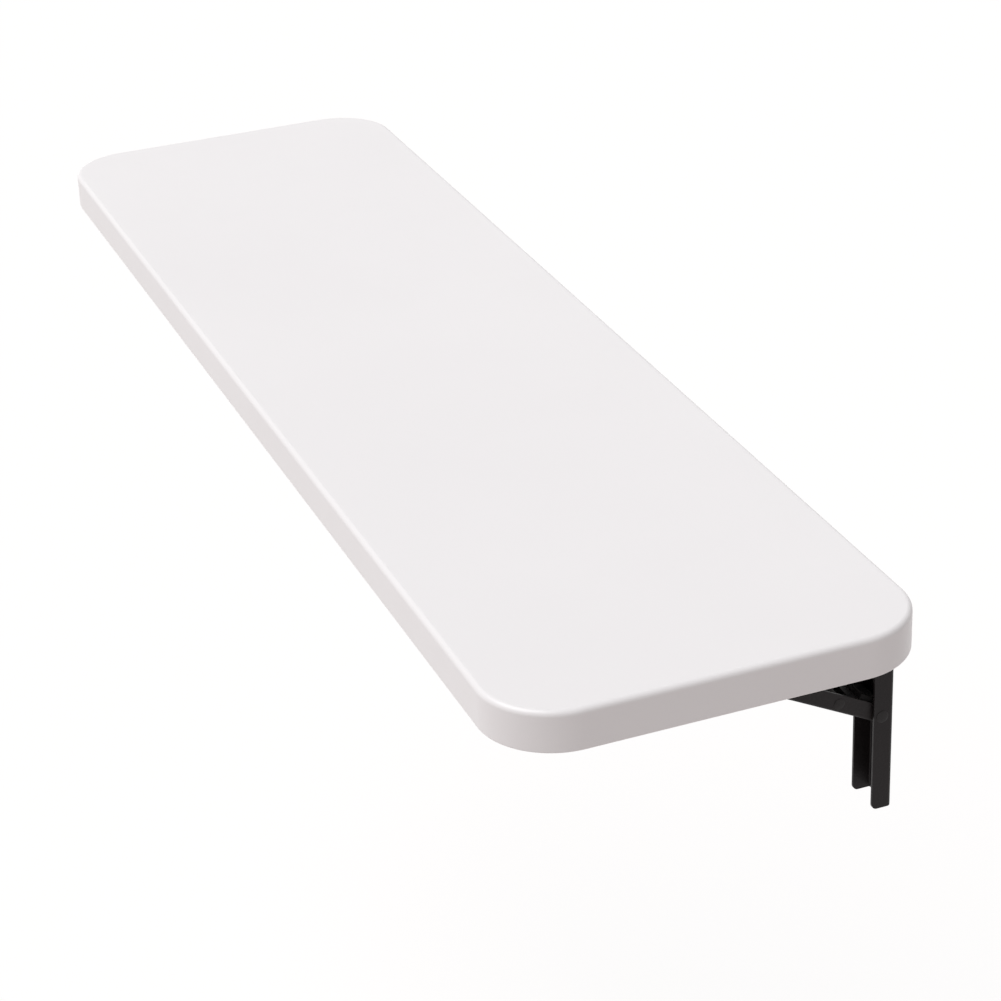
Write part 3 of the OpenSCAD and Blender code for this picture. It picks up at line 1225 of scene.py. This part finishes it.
@dataclass
class Studio:
    """Floor, light and the camera at the photograph's viewing angle."""

    floor_drop: float = 0.70
    floor_half: float = 15.0
    azimuth_deg: float = 69.3138
    elevation_deg: float = 27.1217
    roll_deg: float = -2.3936
    distance: float = 2.262542
    shift_right: float = -0.078065
    shift_up: float = -0.149029
    focal_px: float = 2828.93
    world_level: float = 0.36
    world_colour: Colour = (1.0, 0.99, 0.985)
    sun_level: float = 2.28
    sun_width_deg: float = 50.0
    sun_from: tuple[float, float, float] = (-0.10, -0.47, 0.87)
    floor_colour: Colour = (0.66, 0.60, 0.585)
    floor_glow: float = 1.09
    floor_glow_share: float = 0.82

    def build_floor(self) -> None:
        """Build the plain floor, white to the camera and in reflections."""
        h = self.floor_half
        corners = ((-h, -h), (h, -h), (h, h), (-h, h))
        bm = bmesh.new()
        bm.faces.new([bm.verts.new((x, y, -self.floor_drop)) for x, y in corners])
        mesh = bpy.data.meshes.new("floor")
        bm.to_mesh(mesh)
        bm.free()
        floor = bpy.data.objects.new("floor", mesh)
        bpy.context.scene.collection.objects.link(floor)
        floor.data.materials.append(self._floor_material())

    @staticmethod
    def _seen(tree: bpy.types.NodeTree) -> Link:
        """Tell the rays that see a surface from those that only light the object.

        Args:
            tree: Tree to add to.

        Returns:
            1 for camera, mirror and see-through rays, and 0 for the rest.
        """
        path = tree.nodes.new("ShaderNodeLightPath").outputs
        both = math_node(tree, "MAXIMUM", path["Is Camera Ray"], path["Is Glossy Ray"])
        return math_node(tree, "MAXIMUM", both, path["Is Transmission Ray"])

    def _floor_material(self) -> bpy.types.Material:
        """Build a pale floor finish that keeps a faint shadow, and is open from below.

        Returns:
            The finished material.
        """
        material = bpy.data.materials.new("floor_white")
        material.use_nodes = True
        tree = material.node_tree
        tree.nodes.clear()
        diffuse = tree.nodes.new("ShaderNodeBsdfDiffuse")
        diffuse.inputs["Color"].default_value = (*self.floor_colour, 1.0)
        glow = tree.nodes.new("ShaderNodeEmission")
        glow.inputs["Strength"].default_value = self.floor_glow
        mostly = math_node(tree, "MULTIPLY", self._seen(tree), self.floor_glow_share)
        lit = tree.nodes.new("ShaderNodeMixShader")
        tree.links.new(mostly, lit.inputs[0])
        tree.links.new(diffuse.outputs[0], lit.inputs[1])
        tree.links.new(glow.outputs[0], lit.inputs[2])
        clear = tree.nodes.new("ShaderNodeBsdfTransparent")
        geometry = tree.nodes.new("ShaderNodeNewGeometry")
        under = tree.nodes.new("ShaderNodeMixShader")
        tree.links.new(geometry.outputs["Backfacing"], under.inputs[0])
        tree.links.new(lit.outputs[0], under.inputs[1])
        tree.links.new(clear.outputs[0], under.inputs[2])
        out = tree.nodes.new("ShaderNodeOutputMaterial")
        tree.links.new(under.outputs[0], out.inputs["Surface"])
        return material

    def build_world(self) -> None:
        """Set the world: white where it is seen, a plain level of light elsewhere."""
        world = bpy.data.worlds.new("studio")
        bpy.context.scene.world = world
        world.use_nodes = True
        tree = world.node_tree
        background = tree.nodes["Background"]
        background.inputs["Color"].default_value = (*self.world_colour, 1.0)
        gain = math_node(tree, "MULTIPLY", self._seen(tree), 1.0 - self.world_level)
        level = math_node(tree, "ADD", gain, self.world_level)
        tree.links.new(level, background.inputs["Strength"])

    def build_lamps(self) -> None:
        """Add one broad sun from above and in front."""
        sun = bpy.data.lights.new("ceiling_light", "SUN")
        sun.energy = self.sun_level
        sun.angle = math.radians(self.sun_width_deg)
        lamp = bpy.data.objects.new("ceiling_light", sun)
        lamp.rotation_euler = Vector(self.sun_from).to_track_quat("Z", "Y").to_euler()
        bpy.context.scene.collection.objects.link(lamp)

    def build_camera(self) -> None:
        """Add the camera, placed from the board's wall edge at the middle of its length."""
        az, el, roll = (math.radians(a) for a in (self.azimuth_deg, self.elevation_deg, self.roll_deg))
        back = Vector((math.sin(az) * math.cos(el), -math.cos(az) * math.cos(el), math.sin(el)))
        level = Vector((math.cos(az), math.sin(az), 0.0))
        upright = back.cross(level)
        right = math.cos(roll) * level + math.sin(roll) * upright
        up = math.cos(roll) * upright - math.sin(roll) * level
        low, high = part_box("board_shell")
        target = Vector(((low.x + high.x) / 2, high.y, high.z))
        spot = target + self.distance * back + self.shift_right * right + self.shift_up * up
        data = bpy.data.cameras.new("photo_camera")
        data.sensor_width = SENSOR_MM
        data.lens = self.focal_px / PHOTO_PIXELS * SENSOR_MM
        camera = bpy.data.objects.new("photo_camera", data)
        turned = Matrix((right, up, back)).transposed().to_4x4()
        camera.matrix_world = Matrix.Translation(spot) @ turned
        bpy.context.scene.collection.objects.link(camera)
        bpy.context.scene.camera = camera

    def build(self) -> None:
        """Set the whole stage."""
        self.build_camera()
        self.build_world()
        self.build_floor()
        self.build_lamps()
        bpy.context.scene.view_settings.view_transform = "Standard"


def main() -> None:
    """Build the stage, the board and both brackets."""
    logging.basicConfig(level=logging.INFO, format="%(name)s %(message)s")
    Studio().build()
    finishes = FinishSet()
    board = Board()
    board.build_skin(finishes.skin)
    board.build_backing(finishes.backing)
    board.dress_core(finishes.core)
    for side in Side:
        Bracket(side, finishes).build()


if __name__ == "__main__":
    main()
